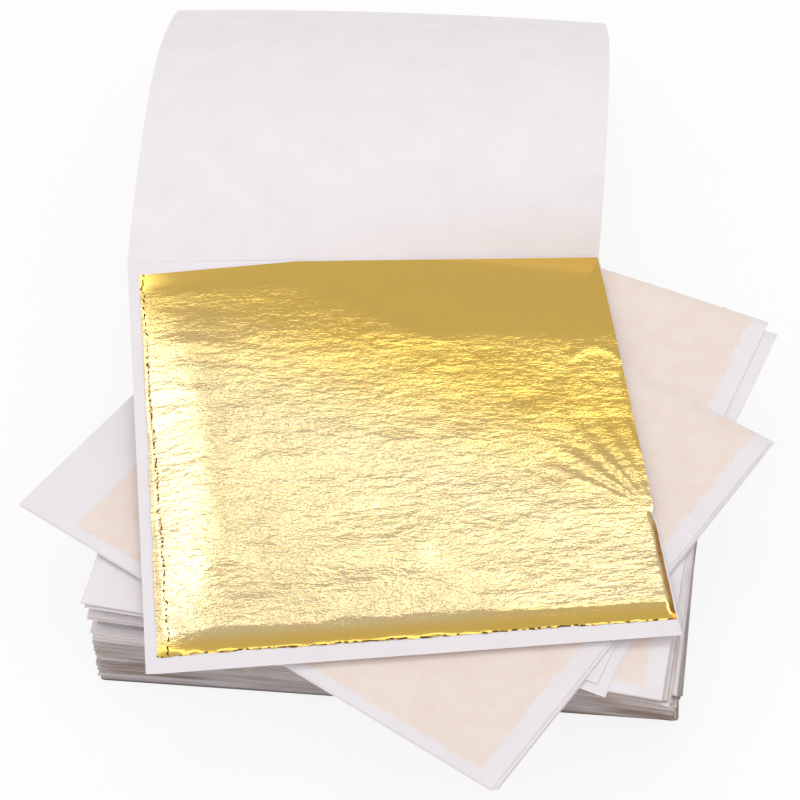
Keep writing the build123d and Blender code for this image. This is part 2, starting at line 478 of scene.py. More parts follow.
def tissue(name, leaf=None, peach_share=0.9, speck_share=0.0, edge_shade_colour=None):
    """Tissue paper, with a square of leaf that shows through it where leaf gives its four sides.

    Where sheets are stacked, the edge colour is painted shade on their cut edges, which lie in each other's
    shade, and painted brown shade, gold flecks and a painted contact shadow are added there.
    """
    material, tree = empty_material(name)
    place = add_node(tree, "ShaderNodeTexCoord").outputs["Object"]
    flat_map = add_node(tree, "ShaderNodeUVMap", uv_map="flat").outputs["UV"]
    paper = place_group(tree, fibres, {"Place": place, "Cloud Size": 7 * mm, "Fibre Size": 0.9 * mm})
    cloud = ramp(tree, paper["Cloud"], 0.32, 0.68)
    colour = mixed(tree, cloud, tissue_shade, tissue_light)
    if leaf:
        left, right, front, back = leaf
        mask = place_group(
            tree, square,
            {"Flat": flat_map, "Left": left, "Right": right, "Front": front, "Back": back,
             "Softness": 0.9 * on_map})
        patch = place_group(tree, fibres, {"Place": place, "Cloud Size": 4.5 * mm, "Fibre Size": 1.5 * mm})
        tint = mixed(tree, ramp(tree, patch["Cloud"], 0.35, 0.65), peach_shade, peach_light)
        thin = ramp(tree, patch["Height"], 0.25, 0.6, 0.72, 1.0)
        share = times(tree, times(tree, mask["Mask"], thin), peach_share)
        colour = mixed(tree, share, colour, tint)
    if speck_share:
        dust = place_group(tree, specks, {"Place": place, "Spacing": 11 * mm, "Size": 0.28 * mm})
        colour = mixed(tree, times(tree, dust["Mask"], speck_share), colour, speck_colour)
    if edge_shade_colour:
        edge = place_group(tree, cut_edge, {"Flat": flat_map, "Place": place})
        for part, tone in (
                ("Shade", edge_shade_colour), ("Stain", edge_brown_shade), ("Fleck", edge_fleck), ("Foot", edge_foot)):
            colour = mixed(tree, edge[part], colour, tone)
    bump = add_node(
        tree, "ShaderNodeBump", {"Height": paper["Height"], "Strength": 0.35, "Distance": 0.06 * mm})
    shader = add_node(
        tree, "ShaderNodeBsdfPrincipled",
        {"Base Color": colour, "Roughness": ramp(tree, paper["Height"], 0.3, 0.7, 0.70, 0.86),
         "Specular IOR Level": 0.25, "Normal": bump.outputs["Normal"]})
    add_node(tree, "ShaderNodeOutputMaterial", {"Surface": shader.outputs[0]})
    return material


def leaf_sides(node, papers_node):
    """Where a folder's leaf lies on the folder's own map."""
    leaf_centre, _, width, depth = lie_of(points_of(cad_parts[node]))
    centre, turn, _, _ = lie_of(points_of(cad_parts[papers_node]))
    offset = leaf_centre - centre
    right = offset[0] * math.cos(turn) + offset[1] * math.sin(turn)
    back = offset[1] * math.cos(turn) - offset[0] * math.sin(turn)
    return [(right - width / 2) / map_size, (right + width / 2) / map_size,
            (back - depth / 2) / map_size, (back + depth / 2) / map_size]


pile_leaf = leaf_sides("pile_top_folder_leaves", "pile_top_folder_papers")
shows_beyond_right = 1.4 * on_map
shows_beyond_front = 0.5 * on_map
pile_shown = [
    pile_leaf[0], pile_leaf[1] + shows_beyond_right, pile_leaf[2] - shows_beyond_front, pile_leaf[3]]
fan_leaf = leaf_sides("upper_fan_leaf_3", "upper_fan_paper_3")
fan_shown = fan_leaf[:3] + [folder_depth / 2 / map_size]
# Three copies of the pile's tissue, with light, grey and dark painted shade on the cut edges.
pile_tissues = {
    shade: tissue(f"edge_shaded_pile_tissue_{shade}", leaf=pile_shown, edge_shade_colour=edge_shade_colour)
    for shade, edge_shade_colour in (("light", edge_shade_light), ("grey", edge_shade_grey), ("dark", edge_shade_dark))}
fan_tissue = tissue("fan_tissue", leaf=fan_shown)
page_tissue = tissue("page_tissue", speck_share=0.5)
print("leaf under the pages, as shares of the map:", np.round(pile_leaf, 3), np.round(fan_leaf, 3))

# %% [markdown]
# ## Gold leaf
# The leaf is beaten so thin that it takes up every small crease. It mirrors like foil, but broken into
# fine grain, which is finer across than along. Its cut edges are crackled, with a thin painted shadow
# line where they lift and curl, and painted brown shade where the lower right edge curls. Towards
# the front it gets a painted highlight where it mirrors the bright box. One group makes the grain,
# and one makes a broken line along an edge.

# %% Node group: crumpled foil
grain_share, crease_share = 0.40, 1.60
foil, foil_in, foil_out = new_group(
    "crumpled_foil", ["Flat"], ["Grain", "Crease"], ["Height", "Grain Tone", "Cloud"])


def drawn_out(size, stretch, detail):
    """Noise on the foil with lumps of this size, drawn out sideways."""
    stretched = add_node(
        foil, "ShaderNodeMapping", {"Vector": foil_in["Flat"], "Scale": (1 / stretch, 1.0, 1.0)})
    return noise(foil, stretched.outputs[0], maths(foil, "DIVIDE", 1.0, size), detail, 0.6)["Fac"]


grain = drawn_out(foil_in["Grain"], 1.3, 2.0)
crease = drawn_out(foil_in["Crease"], 2.3, 3.0)
broad = drawn_out(10 * on_map, 1.6, 4.0)
patch = ramp(foil, broad, 0.35, 0.65, 0.75, 1.25)
height = times(foil, patch, plus(foil, times(foil, grain, grain_share), times(foil, crease, crease_share)))
fill_inputs(foil, foil_out, {"Height": height, "Grain Tone": grain, "Cloud": broad})

# %% Node group: a broken line along an edge
broken, broken_in, broken_out = new_group(
    "broken_edge_line", ["Flat"], ["Distance", "Inset", "Width", "Wander", "Cover"], ["Mask"])
wander = noise(broken, broken_in["Flat"], 38.0, 5.0)["Fac"]
wandered = times(broken, maths(broken, "SUBTRACT", wander, 0.5), broken_in["Wander"])
past_line = maths(broken, "SUBTRACT", broken_in["Distance"], broken_in["Inset"])
off_line = maths(broken, "ABSOLUTE", plus(broken, past_line, wandered))
dashes = noise(broken, broken_in["Flat"], 120.0, 3.0)["Fac"]
dash = ramp(broken, plus(broken, dashes, broken_in["Cover"]), 0.98, 1.06)
line = ramp(broken, maths(broken, "DIVIDE", off_line, broken_in["Width"]), 1.0, 0.35)
fill_inputs(broken, broken_out, {"Mask": times(broken, line, dash)})

# %% Gold leaf materials
gold_deep = (0.805, 0.535, 0.122, 1)
gold_bright = (0.815, 0.560, 0.140, 1)
# Painted shadow along the lifted left and front edges of the leaf.
gold_shadow_line = (0.100, 0.055, 0.018, 1)
# Painted brown shade along the curled lower right lip.
gold_lip_shade = (0.400, 0.190, 0.035, 1)
# Painted highlight colour, where the leaf mirrors the bright box.
gold_painted_highlight = (0.815, 0.665, 0.425, 1)


def gold_shader(tree, colour, roughness, normal):
    """The metal itself."""
    shader = add_node(
        tree, "ShaderNodeBsdfPrincipled",
        {"Base Color": colour, "Metallic": 1.0, "Roughness": roughness, "Normal": normal})
    add_node(tree, "ShaderNodeOutputMaterial", {"Surface": shader.outputs[0]})


def plain_gold(name):
    """The leaf inside the closed folders: the same metal, without the open leaf's edges."""
    material, tree = empty_material(name)
    flat_map = add_node(tree, "ShaderNodeUVMap", uv_map="flat").outputs["UV"]
    metal = place_group(tree, foil, {"Flat": flat_map, "Grain": 0.9 * on_map, "Crease": 3 * on_map})
    colour = mixed(tree, ramp(tree, metal["Cloud"], 0.35, 0.65), gold_deep, gold_bright)
    bump = add_node(
        tree, "ShaderNodeBump", {"Height": metal["Height"], "Strength": 0.6, "Distance": 0.1 * mm})
    gold_shader(tree, colour, ramp(tree, metal["Grain Tone"], 0.3, 0.7, 0.24, 0.36), bump.outputs["Normal"])
    return material


hidden_gold = plain_gold("gold_in_folders")
print("materials:", [m.name for m in bpy.data.materials])

# %% [markdown]
# ## One folded sheet, modelled once
# A closed folder is one sheet bent back over itself. It starts as a flat grid, the lower page. Its back
# edge is extruded round the fold and forward again as the upper page, and a Solidify modifier gives
# it the tissue's thickness. Each folder of the pile is then a copy with a mesh of its own.

# %% Model the folded sheet
tissue_thickness = 0.05 * mm
fold_steps = 3
same_edge = 0.01 * mm
smooth_angle = math.radians(50)


def select_edges(piece, chosen):
    """Goes to edit mode with only the edges selected whose two ends pass the test."""
    bpy.ops.object.mode_set(mode="EDIT")
    bpy.ops.mesh.select_mode(type="EDGE")
    bpy.ops.mesh.select_all(action="DESELECT")
    bpy.ops.object.mode_set(mode="OBJECT")
    for edge in piece.data.edges:
        edge.select = all(chosen(piece.data.vertices[end].co) for end in edge.vertices)
    bpy.ops.object.mode_set(mode="EDIT")


def flat_grid(name, width, depth, across, along, height=0.0):
    """A flat grid of this size, centred on the origin, as a start for a sheet."""
    bpy.ops.object.select_all(action="DESELECT")
    bpy.ops.mesh.primitive_grid_add(
        x_subdivisions=across, y_subdivisions=along, size=1, location=(0, 0, height))
    sheet = bpy.context.object
    sheet.name = name
    bpy.ops.transform.resize(value=(width, depth, 1))
    bpy.ops.object.transform_apply(location=True, rotation=True, scale=True)
    return sheet


def draw_flat_map(piece):
    """Makes each point's place on the flat sheet its place on the map, so patterns follow the sheet."""
    for layer in list(piece.data.uv_layers):
        piece.data.uv_layers.remove(layer)
    layer = piece.data.uv_layers.new(name="flat")
    points = points_of(piece)
    corner_points = np.empty(len(piece.data.loops), int)
    piece.data.loops.foreach_get("vertex_index", corner_points)
    layer.data.foreach_set("uv", (points[corner_points, :2] / map_size).astype(np.float32).ravel())


def thicken(piece, thickness, offset=0.0):
    """Gives a sheet its thickness, and smooths all but its cut edges."""
    select_only(piece)
    solid = piece.modifiers.new("thickness", "SOLIDIFY")
    solid.thickness = thickness
    solid.offset = offset
    solid.use_even_offset = True
    bpy.ops.object.modifier_apply(modifier=solid.name)
    bpy.ops.object.shade_smooth_by_angle(angle=smooth_angle)


def folded_sheet(name, across, along):
    """A closed sheet of tissue in its own plan, with its underside at height zero."""
    page_gap = folder_height - tissue_thickness
    fold_depth = page_gap / 2 + tissue_thickness / 2
    page_depth = folder_depth - fold_depth
    sheet = flat_grid(name, folder_width, page_depth, across, along, tissue_thickness / 2)
    move_points(sheet, points_of(sheet) - [0, fold_depth / 2, 0])
    back = points_of(sheet)[:, 1].max()
    select_edges(sheet, lambda point: point.y > back - same_edge)
    turns = [math.pi * step / fold_steps for step in range(fold_steps + 1)]
    for start, end in zip(turns, turns[1:]):
        back_by, up_by = math.sin(end) - math.sin(start), math.cos(start) - math.cos(end)
        step = (0, back_by * page_gap / 2, up_by * page_gap / 2)
        bpy.ops.mesh.extrude_region_move(TRANSFORM_OT_translate={"value": step})
    for _ in range(along):
        bpy.ops.mesh.extrude_region_move(TRANSFORM_OT_translate={"value": (0, -page_depth / along, 0)})
    bpy.ops.object.mode_set(mode="OBJECT")
    draw_flat_map(sheet)
    thicken(sheet, tissue_thickness)
    return sheet


pile_sheet = folded_sheet("pile_sheet", across=18, along=8)
fan_sheet = folded_sheet("fan_sheet", across=40, along=34)
print("a pile sheet has", len(pile_sheet.data.polygons), "faces, a fan sheet", len(fan_sheet.data.polygons))

# %% Model the leaf that lies in a closed folder
leaf_thickness = 0.03 * mm
leaf_underside = (folder_height - leaf_thickness) / 2


def leaf_plate(name, sides, across):
    """A plain square of leaf in its folder's plan."""
    left, right, front, back = [side * map_size for side in sides]
    plate = flat_grid(name, right - left, back - front, across, across, leaf_underside + leaf_thickness / 2)
    move_points(plate, points_of(plate) + [(left + right) / 2, (front + back) / 2, 0])
    draw_flat_map(plate)
    thicken(plate, leaf_thickness)
    return plate


pile_plate = leaf_plate("pile_plate", pile_leaf, 8)
fan_plate = leaf_plate("fan_plate", fan_leaf, 24)
print("a leaf in the pile has", len(pile_plate.data.polygons), "faces")

# %% [markdown]
# ## How a pile of tissue settles
# At their edges the pages of a pile press together in bundles, and gaps open between the bundles,
# wider in one place than in another. So each folder keeps its own height in the middle, and near its
# open edges it moves to a settled height: thin folders, random gaps, and the same total.

# %% Find every folder of the pile
same_height = 0.004 * mm


class Folder:
    """One folder of the pile: its node, and its place."""

    def __init__(self, node, centre, turn, foot):
        self.node, self.centre, self.turn, self.foot = node, centre, turn, foot


def folders_of(node):
    """The folders of one node, read from its own mesh, from the lowest up."""
    points = points_of(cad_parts[node])
    low, high = points[:, 2].min(), points[:, 2].max()
    count = max(1, round((high - low) / layer_height))
    found = []
    for n in range(count):
        foot = low + n * layer_height
        underside = points[abs(points[:, 2] - foot) < same_height]
        centre, turn, _, _ = lie_of(underside)
        found.append(Folder(node, centre, turn, foot))
    return found


paper_nodes = [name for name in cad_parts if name.endswith("_papers")]
paper_nodes.sort(key=lambda name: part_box(name)[0].z)
layer_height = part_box("pile_top_folder_papers")[0].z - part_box("top_bundle_2_papers")[1].z + folder_height
pile = [folder for node in paper_nodes for folder in folders_of(node)]
pile_height = pile[-1].foot + layer_height
print(len(pile), "folders, one each", round(layer_height / mm, 4), "mm, in", len(paper_nodes), "nodes")

# %% Work out the settled heights round the edges
settle_share = 0.15
settle_reach = 20 * mm
directions = 240
wave_length = 13 * mm
small_wave_length = 5 * mm
narrowest_gap, usual_gap, gap_swing, widest_gap = 0.03, 0.5, 0.62, 1.4
gap_within_bundle, gap_between_parts, gap_between_bundles = 0.012, 0.12, 3.0
settling = np.random.default_rng(5)


def bundle_of(node):
    """The bundle that a node belongs to: its name without its number."""
    return node.replace("_papers", "").rstrip("_0123456789")


def gap_waves(seed):
    """How wide one gap is in each direction from the middle, from 0 to 1."""
    around = np.linspace(0, 2 * math.pi, directions, endpoint=False)
    x, y = np.cos(around) * folder_width / 2, np.sin(around) * folder_depth / 2
    waves = soft_waves(x, y, wave_length, wave_length, seed)
    waves = waves + 0.5 * soft_waves(x, y, small_wave_length, small_wave_length, seed + 1)
    return np.clip(usual_gap + gap_swing * waves, narrowest_gap, widest_gap)


gaps = np.zeros((len(pile), directions))
for n in range(1, len(pile)):
    gaps[n] = gap_within_bundle * settling.uniform(0.2, 1.8)
    if pile[n].node != pile[n - 1].node:
        same = bundle_of(pile[n].node) == bundle_of(pile[n - 1].node)
        gaps[n] += (gap_between_parts if same else gap_between_bundles) * gap_waves(100 + 7 * n)
slack = settle_share * pile_height
settled = (
    np.arange(len(pile))[:, None] * layer_height * (1 - settle_share)
    + np.cumsum(gaps, axis=0) / gaps.sum(axis=0) * slack)
print("the widest gap between bundles is", round((gaps / gaps.sum(axis=0) * slack).max() / mm, 2), "mm")

# %% [markdown]
# ## Sheets that rest on the pile
# Everything above the pile shares one gentle swell, because each sheet takes the form of the one
# below it. So the sheets may wave without cutting through each other.

# %% The shared swell, and how a folder is laid
swell_height = 0.16 * mm
fold_reach = 28 * mm
pressed = 0.08


def swell(x, y):
    """How far the sheets on the pile rise above flat, at a place seen from above. Never below zero."""
    broad = soft_waves(x + 0.3, y + 0.3, 34 * mm, 30 * mm, 21)
    small = soft_waves(x + 0.3, y + 0.3, 13 * mm, 12 * mm, 22)
    return swell_height * (1 + 0.75 * broad + 0.25 * small) / 2


def edge_share(x, y):
    """How far a folder's edges have settled here: 0 in the middle and at the fold, 1 at the open edges."""
    to_edge = np.minimum(folder_width / 2 - abs(x), y + folder_depth / 2)
    from_fold = eased((folder_depth / 2 - y) / fold_reach)
    return eased(1 - to_edge / settle_reach) * from_fold


def strayed(points, stray):
    """A folder's places in its own plan, slid a hair from the fold on, and its upper page a hair more."""
    x, y, z = points.T.copy()
    upper = np.clip((z - tissue_thickness) / (folder_height - 2 * tissue_thickness), 0, 1)
    from_fold = 1 - (y + folder_depth / 2) / folder_depth
    x += (stray[0] + stray[2] * upper) * from_fold
    y += (stray[1] + stray[3] * upper) * from_fold
    return x, y, z


def lay_in_pile(piece, n, stray):
    """Lays a copy of a folder's sheet or leaf as the pile's folder n."""
    folder = pile[n]
    points = points_of(piece)
    x, y = points[:, 0], points[:, 1]
    around = (np.arctan2(y / folder_depth, x / folder_width) / (2 * math.pi) % 1) * directions
    before = np.floor(around).astype(int) % directions
    part = around - np.floor(around)
    edge_foot = settled[n][before] * (1 - part) + settled[n][(before + 1) % directions] * part
    share = edge_share(x, y)
    foot = folder.foot * (1 - share) + edge_foot * share
    x, y, z = strayed(points, stray)
    points[:, 2] = foot + z * (1 - pressed * share)
    points[:, 0], points[:, 1] = turned(x, y, folder.centre, folder.turn)
    if n == len(pile) - 1:
        points[:, 2] += swell(points[:, 0], points[:, 1])
    move_points(piece, points)


def copy_of(piece, name):
    """A copy with a mesh of its own."""
    twin = piece.copy()
    twin.data = piece.data.copy()
    twin.name = name
    bpy.context.collection.objects.link(twin)
    return twin


def joined(pieces, name):
    """Several copies as one piece."""
    select_only(*pieces)
    if len(pieces) > 1:
        bpy.ops.object.join()
    whole = bpy.context.view_layer.objects.active
    whole.name = whole.data.name = name
    return whole


def dressed(piece, material, body, node):
    """Gives a finished piece its finish, its body and the node that it stands for."""
    piece.data.materials.clear()
    piece.data.materials.append(material)
    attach(piece, body)
    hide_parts(node)
    return piece


def edges_of(node):
    """How dark the painted shade on the cut edges of a node's sheets is: darkest where a bundle is drawn in
    under the next and lies in its shade.
    """
    if "drawn_in" in node:
        return "dark"
    return "light" if node.startswith(("top", "upper", "middle", "pile_top")) else "grey"


# %% Lay the pile
paper_stray = 0.28 * mm
for node in paper_nodes:
    name = node.replace("_papers", "")
    numbers = [n for n, folder in enumerate(pile) if folder.node == node]
    sheets, plates = [], []
    for n in numbers:
        stray = settling.uniform(-paper_stray, paper_stray, 4)
        sheets.append(copy_of(pile_sheet if n < len(pile) - 1 else fan_sheet, f"{name}_copy"))
        plates.append(copy_of(pile_plate if n < len(pile) - 1 else fan_plate, f"{name}_copy"))
        lay_in_pile(sheets[-1], n, stray)
        lay_in_pile(plates[-1], n, np.zeros(4))
    dressed(joined(sheets, f"{name}_tissue"), pile_tissues[edges_of(node)], "pile", node)
    dressed(joined(plates, f"{name}_leaf_squares"), hidden_gold, "pile", f"{name}_leaves")
print("laid", len(pile), "folders of tissue and leaf")

# %% [markdown]
# ## The two fans
# Two folders and then three lie turned across the pile, and stand out beyond it. Their pages are
# seen from above, so they are laid from the finer sheet.

# %% Lay the fans
fan_stray = 0.35 * mm


def lay_on_pile(piece, paper_node, stray):
    """Lays a copy of a folder's sheet or leaf where the fan's paper node is."""
    points = points_of(piece)
    centre, turn, _, _ = lie_of(points_of(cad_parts[paper_node]))
    x, y, z = strayed(points, (0, 0, *stray))
    points[:, 0], points[:, 1] = turned(x, y, centre, turn)
    points[:, 2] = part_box(paper_node)[0].z + z + swell(points[:, 0], points[:, 1])
    move_points(piece, points)


for fan, count in (("lower_fan", 2), ("upper_fan", 3)):
    for n in range(1, count + 1):
        node = f"{fan}_paper_{n}"
        sheet = copy_of(fan_sheet, f"{fan}_tissue_{n}")
        plate = copy_of(fan_plate, f"{fan}_leaf_square_{n}")
        stray = settling.uniform(-fan_stray, fan_stray, 2)
        lay_on_pile(sheet, node, stray)
        lay_on_pile(plate, node, np.zeros(2))
        dressed(sheet, fan_tissue, fan, node)
        dressed(plate, hidden_gold, fan, f"{fan}_leaf_{n}")
for pattern in (pile_sheet, fan_sheet, pile_plate, fan_plate):
    bpy.data.objects.remove(pattern)
print("laid the two fans")

# %% [markdown]
# ## The open folder's lower page
# The lower page lies on the fan, with its back left corner lifted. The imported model's page gives
# that form: four heights and a bow, found here by least squares from its own points.

# %% Read the open folder's form
page_points = points_of(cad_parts["open_folder_lower_page"])
page_centre, page_turn, page_width, page_depth = lie_of(page_points)


def in_page_plan(x, y):
    """A place seen from above, in the open folder's own plan."""
    right, back = x - page_centre[0], y - page_centre[1]
    return (
        right * math.cos(page_turn) + back * math.sin(page_turn),
        back * math.cos(page_turn) - right * math.sin(page_turn))


def page_terms(x, y):
    """What the page's height is made of: a plane, a twist, and a bow along each side."""
    u, v = x / page_width, y / page_depth
    return np.stack([np.ones_like(u), u, v, u * v, v * v, u * v * v], axis=-1)


plan_x, plan_y = in_page_plan(page_points[:, 0], page_points[:, 1])
page_form, _, _, _ = np.linalg.lstsq(page_terms(plan_x, plan_y), page_points[:, 2], rcond=None)


def page_height(x, y):
    """The middle of the lower page's thickness, at a place in its own plan."""
    right, back = turned(x, y, page_centre, page_turn)
    return page_terms(x, y) @ page_form + swell(right, back)


miss = abs(page_terms(plan_x, plan_y) @ page_form - page_points[:, 2]).max()
print("the page is", round(page_width / mm, 2), "by", round(page_depth / mm, 2), "mm")
print("the form misses it by", round(miss / mm, 4), "mm")

# %% Lay the lower page
lip_width = 2.2 * mm
lip_height = 0.22 * mm
ripple_height = 0.07 * mm
ripple_reach = 20 * mm


def lay_on_page(piece, lift):
    """Lays a flat sheet's points on the lower page, this far above it."""
    points = points_of(piece)
    x, y = points[:, 0].copy(), points[:, 1].copy()
    points[:, 0], points[:, 1] = turned(x, y, page_centre, page_turn)
    points[:, 2] = page_height(x, y) + lift
    move_points(piece, points)


lower_page = flat_grid("open_folder_lower_tissue", page_width, page_depth, 70, 66)
draw_flat_map(lower_page)
flat_points = points_of(lower_page)
x, y = flat_points[:, 0], flat_points[:, 1]
from_left = x + page_width / 2
from_front = y + page_depth / 2
lip = lip_height * (1 - eased(from_left / lip_width))
lip = lip + 0.6 * lip_height * (1 - eased(from_front / lip_width))
ripple = ripple_height * (1 + sheet_waves(x, y, 16, 14, 41)) * (1 - eased(from_front / ripple_reach))
lay_on_page(lower_page, lip + ripple)
thicken(lower_page, tissue_thickness)
dressed(lower_page, page_tissue, "open_folder", "open_folder_lower_page")
print("lower page with", len(lower_page.data.polygons), "faces")

# %% [markdown]
# ## The open folder's upper page
# The upper page is turned back at the crease. Its left side runs off almost level and its right side
# stands up steeply and arches over, so the sheet between them is twisted. Both sides are three arcs,
# and every point of the flat page goes to its place between them.

# %% Work out the two sides of the upper page
page_length = 85.0 * mm
arc_shares = (0.36, 0.34, 0.30)
left_side = {"slope": 18.0, "bends": (-15.0, -24.0, -11.0), "swing": 1.7}
right_side = {"slope": 68.0, "bends": (-66.0, -35.0, -4.0), "swing": -0.2}
side_steps = 120


def side_line(start, slope, bends, swing):
    """Many points along one side of the upper page, from the crease to the free edge."""
    ends = np.cumsum([0.0, *arc_shares])
    middles = (np.arange(side_steps) + 0.5) / side_steps
    turned_so_far = np.interp(middles, ends, np.cumsum([0.0, *bends]))
    heading = np.radians(slope + turned_so_far)
    out = np.array([-math.sin(math.radians(swing)), math.cos(math.radians(swing)), 0])
    steps = page_length / side_steps * (
        np.cos(heading)[:, None] * out + np.sin(heading)[:, None] * np.array([0, 0, 1]))
    return start + np.vstack([np.zeros(3), np.cumsum(steps, axis=0)])


upper_points = points_of(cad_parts["open_folder_upper_page"])
_, _, back_left, back_right = plan_corners(page_points)
crease_left = upper_points[np.argmin(np.linalg.norm(upper_points - back_left, axis=1))]
crease_right = upper_points[np.argmin(np.linalg.norm(upper_points - back_right, axis=1))]
left_line = side_line(crease_left, **left_side)
right_line = side_line(crease_right, **right_side)
print("crease from", np.round(crease_left / mm, 2), "to", np.round(crease_right / mm, 2), "mm")

# %% Lay the upper page
free_edge_bow = 1.3 * mm
page_wave_height = 0.25 * mm
upper_page = flat_grid("open_folder_upper_tissue", page_width, page_length, 80, 80)
draw_flat_map(upper_page)
flat_points = points_of(upper_page)
across = flat_points[:, 0] / page_width + 0.5
along = flat_points[:, 1] / page_length + 0.5
grid = np.linspace(0, 1, side_steps + 1)
left_at = np.stack([np.interp(along, grid, left_line[:, axis]) for axis in range(3)], axis=-1)
right_at = np.stack([np.interp(along, grid, right_line[:, axis]) for axis in range(3)], axis=-1)
laid = left_at * (1 - across[:, None]) + right_at * across[:, None]
laid[:, 2] += free_edge_bow * 4 * across * (1 - across) * eased(along)
waves = sheet_waves(flat_points[:, 0], flat_points[:, 1], 26, 22, 51)
laid[:, 2] += page_wave_height * waves * eased(along * 3)
move_points(upper_page, laid)
thicken(upper_page, tissue_thickness)
dressed(upper_page, page_tissue, "upper_page", "open_folder_upper_page")
print("upper page with", len(upper_page.data.polygons), "faces")

# %% [markdown]
# ### The plane the upper page closes towards
# The page springs, so it keeps a little of its arch when it is closed over the leaf. This step only
# works out the plane it closes towards: its normal comes from the crease and the page's free edge,
# and is tipped up a little about the crease. The upper page also gets a mesh of its own.

# %% The upper page's closing plane
closed_tilt = math.radians(1.6)
crease = (crease_right - crease_left) / np.linalg.norm(crease_right - crease_left)
outward = (left_line[-1] + right_line[-1]) / 2 - (crease_left + crease_right) / 2
page_normal = np.cross(crease, outward)
page_normal /= np.linalg.norm(page_normal)
page_normal = page_normal * math.cos(closed_tilt) - np.cross(crease, page_normal) * math.sin(closed_tilt)
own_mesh(upper_page)
print("the upper page's mean plane faces", np.round(page_normal, 3))

# %% [markdown]
# ## The open gold leaf
# The leaf lies loose on the page. It bridges the page's hollow in a flat arch, highest at the middle
# left, lies down towards the fold at its back, and rolls down at its other edges, which the knife
# tore a little. Its crumples are real bumps in the mesh, from broad folds to creases of about a
# millimetre. The material adds the finest grain, a painted highlight towards the front, and broken
# painted shadow along the edges.

# %% Read the leaf's place
leaf_points = points_of(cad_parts["open_gold_leaf"])
leaf_centre, _, leaf_width, leaf_depth = lie_of(leaf_points)
leaf_right, leaf_back = in_page_plan(leaf_centre[0], leaf_centre[1])
print("the open leaf is", round(leaf_width / mm, 2), "by", round(leaf_depth / mm, 2), "mm")
print("it lies at", round(leaf_right / mm, 2), round(leaf_back / mm, 2), "mm on the page")

# %% Where the leaf is calm, where it is crumpled, and where it gets a painted highlight
leaf_clearance = 0.1 * mm
leaf_stand_off = 0.95 * mm
bridge_height = 1.4 * mm
# The strongest share of painted highlight.
strongest_highlight = 0.92


def calm(x, y):
    """1 where the leaf stayed smooth, at its back right, and 0 where it is crumpled."""
    start = 22 * mm + 13 * mm * eased((14 * mm - x) / (32 * mm))
    return eased((y - start + 3 * mm) / (6 * mm))


def painted_highlight_share(x, y):
    """How much painted highlight the leaf gets: none at the back right, most of it towards the front, a
    strip along the left lip, and none in the band along the front edge.
    """
    here = eased((23 * mm - 0.50 * x - y) / (30 * mm))
    from_left, from_front = x + leaf_width / 2, y + leaf_depth / 2
    strip = ridge(from_left - 3.2 * mm, 1.6 * mm) * eased((18 * mm - y) / (20 * mm))
    in_band = eased(1.3 - from_front / (3.6 * mm))
    return np.clip(strongest_highlight * here + 0.5 * strip, 0, 1) * (1 - in_band)


def ridge(across, width):
    """A soft ridge, 1 on its line and 0 away from it."""
    return np.exp(-(across / width) ** 2)


def folds(x, y):
    """Single folds: the fan at the right edge, the arc above it, and the streaks at the left."""
    right, back = x - 42 * mm, y + 18 * mm
    away, angle = np.hypot(right, back), np.degrees(np.arctan2(back, -right))
    fan_wave = np.sin(np.radians(angle) * 26 + 1.0 * sheet_waves(x, y, 8, 8, 61))
    fan_here = eased(1 - away / (30 * mm)) * eased(away / (3 * mm))
    fan_here = fan_here * eased((angle - 18) / 22) * eased((92 - angle) / 25)
    arc_line = 18.6 * mm - 0.13 * (x / mm - 37) ** 2 * mm
    arc_here = eased((x - 31 * mm) / (4 * mm))
    short_line = x - 40.6 * mm + 0.14 * (y + 2 * mm)
    short_here = eased((y + 7 * mm) / (3 * mm)) * eased((3 * mm - y) / (3 * mm))
    streaks = np.sin((y + 0.17 * x) / (0.85 * mm) + 1.3 * sheet_waves(x, y, 13, 8, 62))
    streaks_here = eased(1 - (x + leaf_width / 2) / (26 * mm)) * eased((y - 4 * mm) / (8 * mm))
    return (
        0.13 * mm * fan_wave * fan_here * (0.4 + 0.6 * eased(away / (14 * mm)))
        + 0.11 * mm * ridge(y - arc_line, 1.1 * mm) * arc_here
        + 0.10 * mm * ridge(short_line, 0.5 * mm) * short_here
        + 0.05 * mm * streaks * streaks_here)


def crumples(x, y):
    """The leaf's creases at four sizes, drawn out sideways as in the real leaf."""
    broad = sheet_waves(x, y, 15, 8, 71)
    middle = sheet_waves(x, y, 5.5, 2.8, 72)
    small = sheet_waves(x, y, 2.3, 1.2, 73)
    wavy_front = eased((-y - 12 * mm) / (8 * mm)) * eased((16 * mm - x) / (14 * mm))
    waves = 0.05 * mm * sheet_waves(x, y, 8, 4.2, 75) * wavy_front
    fine = 0.014 * mm * small + 0.040 * mm * middle
    return 0.075 * mm * broad * (1 - calm(x, y)) + fine * (1 - 0.95 * calm(x, y)) + waves


front_rim = 0.45 * mm
left_slope_width = 11 * mm
right_roll_width = 1.1 * mm
back_slope_width = 17 * mm


